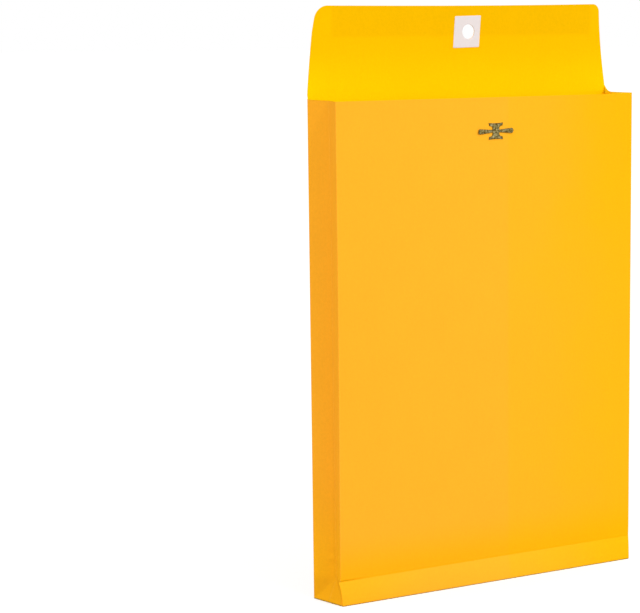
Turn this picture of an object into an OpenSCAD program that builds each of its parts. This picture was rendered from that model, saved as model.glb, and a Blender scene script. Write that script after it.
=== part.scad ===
// Kraft paper envelope with side gussets, standing open on its folded bottom.
// Millimetres, +Z up. The front panel carries the metal clasp and faces -Y.
// Origin: on the resting face, mid-width, midway between the front and back panels.

/* [Body] */
// Width of the front and back panels
body_width = 228.6; // [180:0.2:330]
// Height of the back panel from the resting face to the flap's fold
body_height = 304.8; // [220:0.2:420]
// Distance between the front and back panels at the folded bottom
body_depth = 28.6; // [22:0.2:44]
// How much further open the left end of the rim stands
rim_open_left = 0.8; // [0:0.1:3]
// How much less far open the right end of the rim stands
rim_closed_right = 3; // [0:0.1:8]
// How much lower than the back the front panel is cut at the rim
front_drop = 1.4; // [0.4:0.1:4]
// How far the centre crease of the left side is pushed in at the rim
gusset_inset = 4.7; // [3:0.1:9]
// Thickness of the paper
paper = 0.25; // [0.2:0.05:0.4]

/* [Folded bottom and seam] */
// How fast the front swells out below the fold line, as an exponent
swell_power = 1.7; // [1.2:0.1:2.5]
// How far the left end of the turned-up flap stands out past the side
band_overhang = 0.5; // [0.2:0.1:1.2]
// How far its right end stands short of the other side
band_shortfall = 0.2; // [0.1:0.1:1.2]
// Distance to the right of the middle where the front's glued seam ends
seam_edge = 15; // [8:1:24]
// Width of the overlap in that seam
seam_overlap = 19; // [16:1:26]

/* [Top flap] */
// Height of the open flap above the rim
flap_height = 55; // [40:0.1:90]
// How much each side of the flap draws in by its top edge
flap_taper = 5.4; // [3:0.1:14]
// How far each end of the flap's foot stands in from the body's corner
flap_shoulder = 0.3; // [0.2:0.1:3]
// Corner radius of the flap at the left
corner_left = 11.5; // [3:0.5:18]
// Corner radius of the flap at the right
corner_right = 5; // [3:0.5:18]

/* [Hole and its patch] */
// Radius of the hole that the clasp goes through
hole_radius = 4.6; // [4:0.1:7]
// Distance of the hole to the right of the middle
hole_right = 4.9; // [-8:0.1:8]
// Distance of the hole and its patch below the flap's top edge
hole_below_edge = 16.3; // [13:0.1:26]
// Side of the square patch
patch_side = 20.5; // [16:0.5:30]
// Corner radius of the patch
patch_corner = 0.8; // [0.5:0.1:3]
// Thickness of the patch
patch_thickness = 0.2; // [0.15:0.05:0.3]
// Distance of the patch's centre to the right of the middle
patch_right = 3.9; // [-8:0.1:8]

/* [Clasp] */
// Distance of the clasp's centre to the right of the middle
clasp_right = 4.9; // [-8:0.1:8]
// Depth of the clasp's centre below the flap's fold
clasp_below_rim = 22.5; // [18:0.5:40]
// Thickness of the sheet metal
metal = 0.3; // [0.25:0.05:0.4]
// Height of the clasp's plate
plate_height = 10.4; // [9.4:0.2:16]
// Width of the plate across its flared ends
plate_width = 11; // [9.4:0.2:18]
// Height of each flared end of the plate
serif_height = 1.9; // [1.6:0.1:2.3]
// Fillet radius between the stem and the flared ends
stem_fillet = 1.9; // [0.8:0.1:2]
// Width of the plate's stem
stem_width = 5.2; // [4.4:0.2:7.2]
// Length from the clasp's centre to the end of a prong
prong_reach = 13.8; // [12:0.1:18]
// Width of a prong at its bend
prong_root = 1.6; // [1.2:0.1:2.4]
// Width of a prong at its blunt end
prong_end = 3.7; // [3:0.1:5]
// Corner radius of a prong's end
prong_corner = 1.2; // [0.6:0.1:1.4]
// Gap between a prong's bend and the edge of the stem
bend_gap = 0.05; // [0.03:0.01:0.1]
// Gap between a flat prong and the paper
prong_lift = 0.1; // [0.05:0.05:0.2]
// Width of the tabs that hold the plate through the paper
tab_width = 4; // [3:0.2:5]
// Length of each tab where it is bent flat inside
tab_length = 3; // [2:0.2:5]
// Distance of each tab from the clasp's centre
tab_offset = 4; // [3.6:0.1:4.4]
// Play of a tab in its slit
tab_play = 0.1; // [0.05:0.05:0.2]

/* [Hidden] */
half_width = body_width / 2;
half_depth = body_depth / 2;
rim_back_left = half_depth + rim_open_left;
rim_back_right = half_depth - rim_closed_right;
gusset_panel = norm([(half_depth + rim_back_left) / 2, gusset_inset]);
fold_height = gusset_panel;
swell = 2 * gusset_panel - body_depth;
inset_low = sqrt(pow(gusset_panel, 2) - pow(half_depth, 2));
inset_right = sqrt(pow(gusset_panel, 2) - pow((half_depth + rim_back_right) / 2, 2));
rim_straight = 8;
rim_low = body_height - rim_straight;
floor_thickness = 2 * paper;
cut_over = 1;
swell_steps = 8;
side_steps = 6;
corner_steps = 10;
swell_levels = [for (k = [0 : swell_steps]) fold_height * k / swell_steps];

rim_turn = atan((rim_back_left - rim_back_right) / body_width);
flap_length = norm([body_width, rim_back_left - rim_back_right]);
flap_lean = atan(flap_taper / flap_height);
hole_above_rim = flap_height - hole_below_edge;

clasp_z = body_height - clasp_below_rim;
clasp_face = -half_depth;
bend_radius = metal / 2;
bend_out = stem_width / 2 + bend_gap + bend_radius;
bend_y = clasp_face - prong_lift - bend_radius;
fillet_steps = 6;
flare = 0.35;
serif_flat = 0.1;
serif_z = plate_height / 2 - serif_height;
stem_round = min(stem_fillet, (plate_width - stem_width) / 2 - 2 * flare - serif_flat);

kraft_color = [1.0, 0.74, 0.15];
patch_color = [0.95, 0.91, 0.90];
metal_color = [0.55, 0.50, 0.42];

// Front face of the body at height z: flat above the fold line, swelling out below it.
function front_y(z) =
    z >= fold_height ? -half_depth
    : -half_depth - swell * (1 - pow(z / fold_height, swell_power));

// A value that keeps its low amount up to the fold line and then runs evenly to its amount at the rim.
function up_the_side(z, low, rim) = lookup(z, [[fold_height, low], [rim_low, rim]]);

// Outline of the gusseted tube at height z, anticlockwise from the front left corner.
function ring(z) =
    let (
        front = front_y(z),
        back_left = up_the_side(z, half_depth, rim_back_left),
        back_right = up_the_side(z, half_depth, rim_back_right)
    )
    [
        [-half_width, front],
        [half_width, front],
        [half_width - up_the_side(z, inset_low, inset_right), (front + back_right) / 2],
        [half_width, back_right],
        [-half_width, back_left],
        [-half_width + up_the_side(z, inset_low, gusset_inset), (front + back_left) / 2]
    ];

// Outline of the opened bottom at height z near the resting face, where the creases have run out.
function foot(z) =
    let (side = half_width - inset_low * z / fold_height)
    [[-side, front_y(z)], [side, front_y(z)], [side, half_depth], [-side, half_depth]];

function unit(v) = v / norm(v);

function inward(a, b) = let (d = unit(b - a)) [-d[1], d[0]];

// Corner i of the outline, moved inside by t.
function inset_corner(r, i, t) =
    let (
        n = len(r),
        n1 = inward(r[(i + n - 1) % n], r[i]),
        n2 = inward(r[i], r[(i + 1) % n])
    )
    r[i] + t * (n1 + n2) / (1 + n1 * n2);

function inset_ring(r, t) = [for (i = [0 : len(r) - 1]) inset_corner(r, i, t)];

// Heights of the tube's outlines, from the fold line to the given top.
function tube_levels(top) = concat(
    [for (k = [0 : side_steps]) fold_height + (rim_low - fold_height) * k / side_steps],
    [top]
);

// Two triangles for each side of the tube between the outline that starts at point k and the next.
function tube_faces(k, n) = [
    for (i = [0 : n - 1])
        let (a = k + i, b = k + (i + 1) % n, c = b + n, d = a + n)
        each [[a, d, b], [b, d, c]]
];

// The body, moved inside by t, from the resting face or floor up to the given top.
// On each side two slanting folds rise from the bottom's corners and meet at the crease's foot,
// on the fold line. A plain triangle stands between them.
module folded_body(floor, top, t) {
    corners = inset_ring(foot(floor), t);
    front = [for (k = [1 : swell_steps - 1]) inset_ring(ring(swell_levels[k]), t)];
    levels = tube_levels(top);
    rings = [for (z = levels) inset_ring(ring(z), t)];
    n = len(rings[0]);
    tube = 4 + 2 * len(front);
    last = tube + (len(levels) - 1) * n;
    left = concat([0], [for (k = [1 : swell_steps - 1]) 2 + 2 * k], [tube]);
    right = [for (i = left) i + 1];
    crease_r = tube + 2;
    back_r = tube + 3;
    back_l = tube + 4;
    crease_l = tube + 5;
    polyhedron(
        points = concat(
            [for (p = corners) [p[0], p[1], floor]],
            [for (k = [0 : len(front) - 1]) for (i = [0, 1])
                [front[k][i][0], front[k][i][1], swell_levels[k + 1]]],
            [for (k = [0 : len(levels) - 1]) for (p = rings[k]) [p[0], p[1], levels[k]]]
        ),
        faces = concat(
            [[0, 1, 2, 3]],
            [for (k = [0 : swell_steps - 1]) [left[k], left[k + 1], right[k + 1], right[k]]],
            [for (k = [0 : swell_steps - 1]) [right[k], right[k + 1], crease_r]],
            [for (k = [0 : swell_steps - 1]) [left[k], crease_l, left[k + 1]]],
            [
                [1, crease_r, 2],
                [2, crease_r, back_r],
                [3, crease_l, 0],
                [3, back_l, crease_l],
                [2, back_r, back_l, 3]
            ],
            [for (k = [0 : len(levels) - 2]) each tube_faces(tube + k * n, n)],
            [[for (i = [n - 1 : -1 : 0]) last + i]]
        )
    );
}

module body_shell() {
    difference() {
        folded_body(0, body_height, 0);
        folded_body(floor_thickness, body_height + cut_over, paper);
    }
}

// What is cut away above the front panel and the sides, down to the front's lower rim.
module mouth_cut() {
    back = rim_back_right - 2 * paper;
    front = -half_depth - swell;
    slope = front_drop / (back + half_depth);
    translate([-body_width, 0, body_height])
        rotate([90, 0, 90])
            linear_extrude(2 * body_width)
                polygon([[back, 0], [back, cut_over], [front, cut_over], [front, (front - back) * slope]]);
}

// A layer of paper that follows the front panel, between two depths behind its face.
module front_layer(levels, from, to, left, right) {
    near = [for (z = levels) [front_y(z) + from, z]];
    far = [for (k = [len(levels) - 1 : -1 : 0]) [front_y(levels[k]) + to, levels[k]]];
    translate([left, 0, 0])
        rotate([90, 0, 90])
            linear_extrude(right - left)
                polygon(concat(near, far));
}

// The bottom flap, turned up and glued on the front.
module turned_up_flap() {
    front_layer(
        swell_levels, -paper, paper / 2,
        -half_width - band_overhang, half_width - band_shortfall
    );
}

// The second layer of paper inside the front, where the tube's edges are glued together.
module centre_seam() {
    levels = concat(swell_levels, [body_height]);
    front_layer(levels, paper / 2, 2 * paper, seam_edge - seam_overlap, seam_edge);
}

// Local frame of the open flap: x along the rim from the left corner, z up from the rim.
module on_flap() {
    translate([-half_width, rim_back_left, body_height])
        rotate([0, 0, -rim_turn])
            children();
}

function corner_x(r) = (r + (flap_height - r) * sin(flap_lean)) / cos(flap_lean);

function corner_arc(r, from, to, x) = [
    for (k = [0 : corner_steps])
        let (a = from + (to - from) * k / corner_steps)
        [x + r * cos(a), flap_height - r + r * sin(a)]
];

module flap_outline() {
    polygon(concat(
        [[flap_shoulder, 0]],
        corner_arc(corner_left, 180 - flap_lean, 90, corner_x(corner_left)),
        corner_arc(corner_right, 90, flap_lean, flap_length - corner_x(corner_right)),
        [[flap_length - flap_shoulder, 0]]
    ));
}

module open_flap() {
    on_flap()
        rotate([90, 0, 0])
            linear_extrude(paper)
                flap_outline();
}

module flap_hole() {
    on_flap()
        translate([half_width + hole_right, cut_over, hole_above_rim])
            rotate([90, 0, 0])
                cylinder(r = hole_radius, h = paper + patch_thickness + 2 * cut_over, $fn = 64);
}

module tab_slits() {
    for (side = [-1, 1])
        translate([
            clasp_right - tab_width / 2 - tab_play,
            clasp_face - cut_over,
            clasp_z + side * tab_offset - metal / 2 - tab_play
        ])
            cube([tab_width + 2 * tab_play, 2 * paper + 2 * cut_over, metal + 2 * tab_play]);
}

module envelope() {
    color(kraft_color)
        difference() {
            union() {
                difference() {
                    union() {
                        body_shell();
                        turned_up_flap();
                        centre_seam();
                    }
                    mouth_cut();
                }
                open_flap();
            }
            flap_hole();
            tab_slits();
        }
}

module hole_patch() {
    color(patch_color)
        difference() {
            on_flap()
                translate([half_width + patch_right, -paper, hole_above_rim])
                    rotate([90, 0, 0])
                        linear_extrude(patch_thickness)
                            patch_outline();
            flap_hole();
        }
}

module patch_outline() {
    reach = patch_side / 2 - patch_corner;
    polygon([
        for (quarter = [0 : 3])
            for (k = [0 : 6])
                let (
                    a = 90 * quarter + 90 * k / 6,
                    sx = (quarter == 0 || quarter == 3) ? 1 : -1,
                    sz = quarter < 2 ? 1 : -1
                )
                [sx * reach + patch_corner * cos(a), sz * reach + patch_corner * sin(a)]
    ]);
}

// Points on an arc of radius r about (x, z), from one angle to another.
function arc(x, z, r, from, to) = [
    for (k = [0 : fillet_steps])
        let (a = from + (to - from) * k / fillet_steps)
        [x + r * cos(a), z + r * sin(a)]
];

// One quarter of the clasp's plate, from the stem's edge out to the flared end.
function plate_quarter() = concat(
    [[0, 0], [stem_width / 2, 0]],
    arc(stem_width / 2 + stem_round, serif_z - stem_round, stem_round, 180, 90),
    [
        [plate_width / 2 - 2 * flare, serif_z],
        [plate_width / 2 - flare, serif_z + flare],
        [plate_width / 2, plate_height / 2],
        [plate_width / 2 - 2 * flare, plate_height / 2 - flare / 2],
        [0, plate_height / 2 - flare]
    ]
);

// Local frame of the clasp: x along the prongs, y up, z out from the paper.
module on_clasp() {
    translate([clasp_right, clasp_face, clasp_z])
        rotate([90, 0, 0])
            children();
}

module clasp_tab(side) {
    depth = metal + 2 * paper + metal;
    translate([-tab_width / 2, side * tab_offset - metal / 2, metal - depth])
        cube([tab_width, metal, depth]);
    translate([
        -tab_width / 2,
        side * (tab_offset + tab_length / 2) - tab_length / 2 - metal / 2,
        metal - depth
    ])
        cube([tab_width, tab_length + metal, metal]);
}

module clasp_base() {
    color(metal_color)
        on_clasp() {
            linear_extrude(metal)
                union() {
                    for (sx = [0, 1])
                        for (sy = [0, 1])
                            mirror([sx, 0])
                                mirror([0, sy])
                                    polygon(plate_quarter());
                }
            clasp_tab(-1);
            clasp_tab(1);
        }
}

// Outline of the right-hand prong, measured from its bend: it widens to a blunt end.
module prong_outline() {
    length = prong_reach - bend_out;
    reach = length - prong_corner;
    rise = prong_end / 2 - prong_corner;
    polygon(concat(
        [[0, prong_root / 2], [0, -prong_root / 2]],
        arc(reach, -rise, prong_corner, -90, 0),
        arc(reach, rise, prong_corner, 0, 90)
    ));
}

module prong(side) {
    translate([clasp_right + side * bend_out, bend_y, clasp_z]) {
        cylinder(r = bend_radius, h = prong_root, center = true, $fn = 24);
        mirror([side < 0 ? 1 : 0, 0, 0])
            rotate([90, 0, 0])
                translate([0, 0, -bend_radius])
                    linear_extrude(metal)
                        prong_outline();
    }
}

module left_prong() {
    color(metal_color)
        prong(-1);
}

module right_prong() {
    color(metal_color)
        prong(1);
}

envelope();
hole_patch();
clasp_base();
left_prong();
right_prong();
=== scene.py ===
"""A kraft envelope with side gussets, standing open: folded sheet, patch and clasp, and their studio.

Lengths are written in millimetres, as the part's source has them, and turned into metres where a
mesh is made.
"""

import logging
import math
from dataclasses import dataclass, field
from enum import Enum, IntEnum
from typing import Any, Sequence

import bpy
import numpy as np
from mathutils import Matrix, Vector


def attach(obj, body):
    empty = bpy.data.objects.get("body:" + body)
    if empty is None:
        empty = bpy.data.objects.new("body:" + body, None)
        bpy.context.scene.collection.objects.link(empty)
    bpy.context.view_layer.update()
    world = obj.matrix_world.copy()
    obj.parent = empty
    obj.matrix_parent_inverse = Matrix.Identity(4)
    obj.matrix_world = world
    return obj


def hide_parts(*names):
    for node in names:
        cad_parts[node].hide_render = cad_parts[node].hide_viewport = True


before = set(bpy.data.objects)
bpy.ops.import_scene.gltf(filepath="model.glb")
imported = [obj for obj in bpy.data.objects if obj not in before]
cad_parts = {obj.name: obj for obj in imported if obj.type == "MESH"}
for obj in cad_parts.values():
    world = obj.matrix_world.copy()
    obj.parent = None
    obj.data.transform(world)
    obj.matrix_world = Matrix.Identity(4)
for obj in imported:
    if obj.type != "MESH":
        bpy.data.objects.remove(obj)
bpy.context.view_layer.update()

logging.basicConfig(level=logging.INFO, format="%(name)s: %(message)s")
log = logging.getLogger("envelope")

MM = 0.001
IMAGE_WIDTH = 640
SENSOR_WIDTH = 36.0
SHARP_ANGLE = math.radians(38.0)
QUARTER_TURN = math.pi / 2
FULL_TURN = 2 * math.pi

Colour = tuple[float, float, float, float]
Span = tuple[float, float]


class Slot(Enum):
    """The record's material slots."""

    PAPER = "kraft_paper"
    PATCH = "patch_paper"
    METAL = "clasp_metal"


class Body(Enum):
    """The rigid bodies that the pieces ride on."""

    PAPER = "paper"
    LEFT = "left_tongue"
    RIGHT = "right_tongue"


class Panel(IntEnum):
    """The body's six panels, anticlockwise seen from above; each gusset is folded into two halves."""

    FRONT = 0
    RIGHT_FRONT = 1
    RIGHT_BACK = 2
    BACK = 3
    LEFT_BACK = 4
    LEFT_FRONT = 5


class Tab(Enum):
    """Which of the plate's two tabs, by the way that it points."""

    UPPER = 1
    LOWER = -1


class Hand(Enum):
    """Which way a prong points, seen from the front."""

    LEFT = -1
    RIGHT = 1


# Shader nodes


class Wire:
    """A socket whose operators add Math nodes, so that shader maths reads as Python."""

    def __init__(self, shader: "Shader", socket: bpy.types.NodeSocket) -> None:
        """Keeps the tree that the socket is in.

        Args:
            shader: the material's builder.
            socket: the output that carries the value.
        """
        self.shader = shader
        self.socket = socket

    def __add__(self, other: "Wire | float") -> "Wire":
        """Sum."""
        return self.shader.math("ADD", self, other)

    def __radd__(self, other: float) -> "Wire":
        """Sum, with the number first."""
        return self.shader.math("ADD", other, self)

    def __sub__(self, other: "Wire | float") -> "Wire":
        """Difference."""
        return self.shader.math("SUBTRACT", self, other)

    def __rsub__(self, other: float) -> "Wire":
        """Difference, with the number first."""
        return self.shader.math("SUBTRACT", other, self)

    def __mul__(self, other: "Wire | float") -> "Wire":
        """Product."""
        return self.shader.math("MULTIPLY", self, other)

    def __rmul__(self, other: float) -> "Wire":
        """Product, with the number first."""
        return self.shader.math("MULTIPLY", other, self)


class Shader:
    """Builds the node tree of one material or world."""

    def __init__(self, owner: bpy.types.Material | bpy.types.World) -> None:
        """Starts with an empty tree.

        Args:
            owner: the material or world that the tree is for.
        """
        self.owner = owner
        owner.use_nodes = True
        self.tree = owner.node_tree
        self.tree.nodes.clear()

    def node(self, kind: str, settings: dict[str, Any], sockets: dict[Any, Any]) -> bpy.types.Node:
        """Adds one node.

        Args:
            kind: the node's type.
            settings: properties that are set first.
            sockets: values or wires of the inputs, by name or number.

        Returns:
            The new node.
        """
        made = self.tree.nodes.new(kind)
        for key, value in settings.items():
            setattr(made, key, value)
        for key, value in sockets.items():
            if isinstance(value, Wire):
                self.tree.links.new(value.socket, made.inputs[key])
            else:
                made.inputs[key].default_value = value
        return made

    def wire(self, made: bpy.types.Node, output: str | int = 0) -> Wire:
        """One output of a node as a wire."""
        return Wire(self, made.outputs[output])

    def math(self, operation: str, *terms: Wire | float) -> Wire:
        """One Math node on wires and numbers."""
        made = self.node("ShaderNodeMath", {"operation": operation}, dict(enumerate(terms)))
        return self.wire(made)

    def larger(self, a: Wire | float, b: Wire | float) -> Wire:
        """The larger of two values."""
        return self.math("MAXIMUM", a, b)

    def step(self, value: Wire, low: float, high: float) -> Wire:
        """Smooth step of a value, with level ends.

        Args:
            value: what is compared.
            low: where the step is 0.
            high: where it is 1.

        Returns:
            The step, between 0 and 1.
        """
        made = self.node(
            "ShaderNodeMapRange",
            {"interpolation_type": "SMOOTHSTEP"},
            {"Value": value, "From Min": low, "From Max": high, "To Min": 0.0, "To Max": 1.0},
        )
        return self.wire(made, "Result")

    def fall(self, value: Wire, low: float, high: float) -> Wire:
        """One minus the smooth step: 1 at low, 0 at high."""
        return 1.0 - self.step(value, low, high)

    def blend(self, factor: Wire | float, a: Any, b: Any, mode: str = "MIX") -> Wire:
        """Mixes two colours.

        Args:
            factor: 0 gives a, 1 gives b.
            a: the first colour, a wire or four numbers.
            b: the second colour.
            mode: how the second is laid on the first.

        Returns:
            The mixed colour.
        """
        settings = {"data_type": "RGBA", "blend_type": mode}
        return self.wire(self.node("ShaderNodeMix", settings, {0: factor, 6: a, 7: b}), 2)

    def tint(self, factor: Wire | float, paint: Wire, by: Any) -> Wire:
        """A colour multiplied by another where the factor is 1."""
        return self.blend(factor, paint, by, "MULTIPLY")

    def place(self, scale: Sequence[float]) -> Wire:
        """Object coordinates, stretched.

        Args:
            scale: by how much along each axis.

        Returns:
            The coordinates.
        """
        coordinates = self.node("ShaderNodeTexCoord", {}, {})
        sockets = {"Vector": self.wire(coordinates, "Object"), "Scale": scale}
        return self.wire(self.node("ShaderNodeMapping", {}, sockets))

    def axes(self) -> tuple[Wire, Wire, Wire]:
        """Object coordinates as numbers.

        Returns:
            The x, y and z in millimetres.
        """
        spread = self.place((1 / MM, 1 / MM, 1 / MM))
        parts = self.node("ShaderNodeSeparateXYZ", {}, {0: spread})
        return self.wire(parts, 0), self.wire(parts, 1), self.wire(parts, 2)

    def noise(self, size: float | Sequence[float], detail: float = 3.0, rough: float = 0.55) -> Wire:
        """Soft noise between 0 and 1.

        Args:
            size: the size of its patches in millimetres, along all axes or along each.
            detail: octaves of finer noise.
            rough: how strong the finer octaves are.

        Returns:
            The noise's value.
        """
        sizes = (size,) * 3 if isinstance(size, (int, float)) else size
        at = self.place([1 / (s * MM) for s in sizes])
        made = self.node(
            "ShaderNodeTexNoise",
            {"noise_dimensions": "3D"},
            {"Vector": at, "Scale": 1.0, "Detail": detail, "Roughness": rough},
        )
        return self.wire(made, 0)

    def attribute(self, name: str) -> Wire:
        """A mesh attribute's value."""
        made = self.node("ShaderNodeAttribute", {"attribute_name": name}, {})
        return self.wire(made, "Fac")

    def colour(self, red: Wire | float, green: Wire | float, blue: Wire | float) -> Wire:
        """Three values as a colour."""
        return self.wire(self.node("ShaderNodeCombineColor", {}, {0: red, 1: green, 2: blue}))

    def grey(self, value: Wire) -> Wire:
        """A value as a grey colour."""
        return self.colour(value, value, value)

    def directly_seen(self) -> Wire:
        """Tells which rays show a surface itself.

        Returns:
            1 for rays from the camera, and for those that mirrors and clear things pass on.
        """
        path = self.node("ShaderNodeLightPath", {}, {})
        passed_on = self.larger(self.wire(path, "Is Glossy Ray"), self.wire(path, "Is Transmission Ray"))
        return self.larger(self.wire(path, "Is Camera Ray"), passed_on)

    def bump(self, height: Wire, strength: float, depth: float) -> Wire:
        """A normal bent by a height.

        Args:
            height: the height's pattern, 0 to 1.
            strength: how much of it counts.
            depth: the height of the whole pattern, in millimetres.

        Returns:
            The bent normal.
        """
        sockets = {"Height": height, "Strength": strength, "Distance": depth * MM}
        return self.wire(self.node("ShaderNodeBump", {}, sockets))

    def principled(self, **sockets: Any) -> Wire:
        """A Principled surface.

        Args:
            sockets: its inputs, with underscores for the blanks in their names.

        Returns:
            The surface.
        """
        values = {key.replace("_", " "): value for key, value in sockets.items()}
        return self.wire(self.node("ShaderNodeBsdfPrincipled", {}, values))

    def output(self, surface: Wire) -> bpy.types.Material:
        """Joins a surface to the material's output, and gives the material."""
        self.node("ShaderNodeOutputMaterial", {}, {"Surface": surface})
        return self.owner


# Finishes


@dataclass(frozen=True)
class PaperPoint:
    """What the paper's finish reads at a point: its place, the sheet's marks, and masks of its side."""

    x: Wire
    y: Wire
    z: Wire
    inner: Wire
    outer: Wire
    fold: Wire
    clouds: Wire
    front: Wire
    side: Wire
    over: Wire
    above: Wire


@dataclass(frozen=True)
class KraftFinish:
    """Golden kraft paper: its smooth outside, its brighter inside and the gummed strip on the flap.

    Tints are colours that the paper's is multiplied by. A span gives where a mask is 0 and where 1,
    or the other way round for a mask that ends there.
    """

    # Colours
    outside: Colour = (1.0, 0.424, 0.0212, 1.0)
    inside: Colour = (1.0, 0.488, 0.0002, 1.0)
    # painted light: the inside's colour low down, paler to lift the shade over the flap's foot and the
    # inside walls
    inside_low_painted_light: Colour = (1.0, 0.605, 0.0002, 1.0)
    gum: Colour = (0.85, 0.455, 0.0002, 1.0)
    fibre: Colour = (0.84, 0.33, 0.012, 1.0)
    wear: Colour = (1.0, 0.56, 0.10, 1.0)
    # painted light: a paler colour in the notch by the flap's right foot, lifting the shade there
    notch: Colour = (1.0, 0.84, 0.03, 1.0)

    # Tints
    beyond_seam: Colour = (1.0, 1.015, 0.72, 1.0)
    far_right: Colour = (1.0, 1.0, 0.50, 1.0)
    top_right: Colour = (1.0, 1.0, 0.50, 1.0)
    over_band: Colour = (1.0, 0.995, 0.30, 1.0)
    # painted shade: a dark line just over the band's top edge
    band_line_shade: Colour = (0.955, 0.98, 0.85, 1.0)
    side_low: Colour = (1.0, 1.09, 0.40, 1.0)
    side_foot: Colour = (0.92, 0.90, 1.0, 1.0)
    band_end: Colour = (1.0, 1.0, 0.55, 1.0)
    # painted shade: darker again on the band line's left part, and a dark line along the left side's rim
    edge_painted_shade: Colour = (0.68, 0.76, 0.20, 1.0)
    # painted shadow: a dark line along the foot, where the sheet meets the floor
    foot_painted_shadow: Colour = (0.50, 0.64, 1.8, 1.0)

    # Where the body's faces are
    right_end: float = 115.0
    half_height: float = 152.0
    front_face: Span = (-14.0, -13.4)
    back_foot: float = 13.1
    back_foot_turn: float = 0.8
    back_rise: float = 0.55
    back_rise_turn: float = 3.25
    back_face: Span = (-0.6, -0.1)
    side_end: Span = (303.0, 307.0)
    fold_line: float = 15.05
    fold_climb: float = 0.7 / 228.6
    fold_edge: Span = (-0.1, 0.1)

    # Where the inside's colours change
    # where the painted light low on the inside ends
    inside_light_z: Span = (300.0, 340.0)
    notch_x: Span = (108.0, 112.0)
    notch_y: Span = (10.2, 10.9)
    notch_z: Span = (302.5, 304.0)
    gum_left: float = -96.6
    gum_right: float = 101.9
    gum_low: float = 340.9
    gum_end: float = 1.8
    gum_edge: float = 1.3
    gum_ragged: float = 1.2

    # Where the tints lie
    seam_edge: float = 15.0
    seam_soft: float = 1.6
    drift: float = 60.0
    top_right_x: float = 30.0
    top_right_z: Span = (150.0, 290.0)
    over_band_z: Span = (1.0, 30.0)
    # the height of the painted shade line over the band
    band_line_shade_z: Span = (0.5, 1.3)
    # where the band's painted shade line is darker, on its left part
    edge_shade_x: Span = (-113.0, -88.0)
    band_end_x: float = 40.0
    side_low_z: Span = (0.0, 90.0)
    side_foot_z: Span = (11.0, 17.0)
    # where the painted shadow along the foot lies
    foot_shadow_z: Span = (0.15, 1.05)

    # Painted light: how the green of the front panel and of the band grows along them and up the front, and
    # how the side lightens by its crease
    panel_along: float = 0.036
    panel_up: float = 0.022
    band_along: float = 0.06
    band_light_gain: float = 0.03
    crease_x: Span = (-114.3, -106.0)
    crease_y: Span = (0.0, 1.5)
    crease_light_gain: float = 0.05

    # Patterns: their sizes, and how much they change the tone
    cloud_size: float = 34.0
    mottle_size: float = 1.6
    streak_size: tuple[float, float, float] = (0.5, 0.5, 9.0)
    fibre_size: tuple[float, float, float] = (2.4, 0.35, 0.35)
    ragged_size: float = 6.0
    wear_size: float = 1.1
    tone: float = 0.92
    cloud_tone: float = 0.05
    mottle_tone: float = 0.14
    streak_tone: float = 0.05
    fibre_range: Span = (0.66, 0.78)
    fibre_share: float = 0.30
    wear_range: Span = (0.36, 0.62)
    wear_share: float = 0.12

    # Sheen and relief
    roughness: float = 0.66
    mottle_rough: float = 0.12
    gum_gloss: float = 0.12
    specular: float = 0.006
    mottle_relief: float = 0.6
    fibre_relief: float = 0.4
    relief: float = 0.35
    relief_depth: float = 0.05

    def read(self, s: Shader) -> PaperPoint:
        """Reads the place and marks of a point, and tells the sides of the body apart.

        The back face's y is a plane that turns with x and z; what is outside, but on neither the
        front nor the back, is a side.

        Args:
            s: the material's builder.

        Returns:
            The point.
        """
        x, y, z = s.axes()
        inner = s.attribute("inner")
        outer = 1.0 - inner
        front = outer * s.fall(y, *self.front_face)
        across = x * (1.0 / self.right_end)
        rise = self.back_rise - across * self.back_rise_turn
        back_y = across * self.back_foot_turn + self.back_foot + rise * (z * (0.5 / self.half_height))
        back = outer * s.step(y - back_y, *self.back_face)
        over = z - x * self.fold_climb - self.fold_line
        return PaperPoint(
            x=x,
            y=y,
            z=z,
            inner=inner,
            outer=outer,
            fold=s.attribute("fold"),
            clouds=s.noise(self.cloud_size, 2.0),
            front=front,
            side=(outer - front - back) * s.fall(z, *self.side_end),
            over=over,
            above=s.step(over, *self.fold_edge),
        )

    def lining(self, s: Shader, at: PaperPoint) -> Wire:
        """The inside's colour, with painted light: paler low down and in the notch by the flap's right
        foot.

        Args:
            s: the material's builder.
            at: the point.

        Returns:
            The colour.
        """
        # painted light: paler low down
        lining = s.blend(s.step(at.z, *self.inside_light_z), self.inside_low_painted_light, self.inside)
        # painted light: paler in the notch
        notch_light_mask = s.step(at.x, *self.notch_x) * s.step(at.z, *self.notch_z) * s.fall(at.y, *self.notch_y)
        return s.blend(notch_light_mask, lining, self.notch)

    def gummed(self, s: Shader, at: PaperPoint) -> Wire:
        """The mask of the gummed strip, a box with slightly ragged edges.

        Args:
            s: the material's builder.
            at: the point.

        Returns:
            The mask.
        """
        ragged = (s.noise(self.ragged_size, 2.0) - 0.5) * self.gum_ragged
        x, z = at.x + ragged, at.z + ragged
        low = s.step(z, self.gum_low - self.gum_edge, self.gum_low + self.gum_edge)
        left = s.step(x, self.gum_left - self.gum_end, self.gum_left + self.gum_end)
        right = s.fall(x, self.gum_right - self.gum_end, self.gum_right + self.gum_end)
        return at.inner * low * left * right

    def tints(self, s: Shader, at: PaperPoint) -> list[tuple[Wire, Colour]]:
        """The tints of the outside, in the order in which they are laid, painted shade among them.

        Args:
            s: the material's builder.
            at: the point.

        Returns:
            Each tint's mask and colour.
        """
        seam = s.step(at.x, self.seam_edge - self.seam_soft, self.seam_edge + self.seam_soft)
        drift = at.x + (at.clouds - 0.5) * self.drift
        upper_right = s.step(drift, self.top_right_x, self.right_end) * s.step(at.z, *self.top_right_z)
        strip = at.front * at.above
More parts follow.
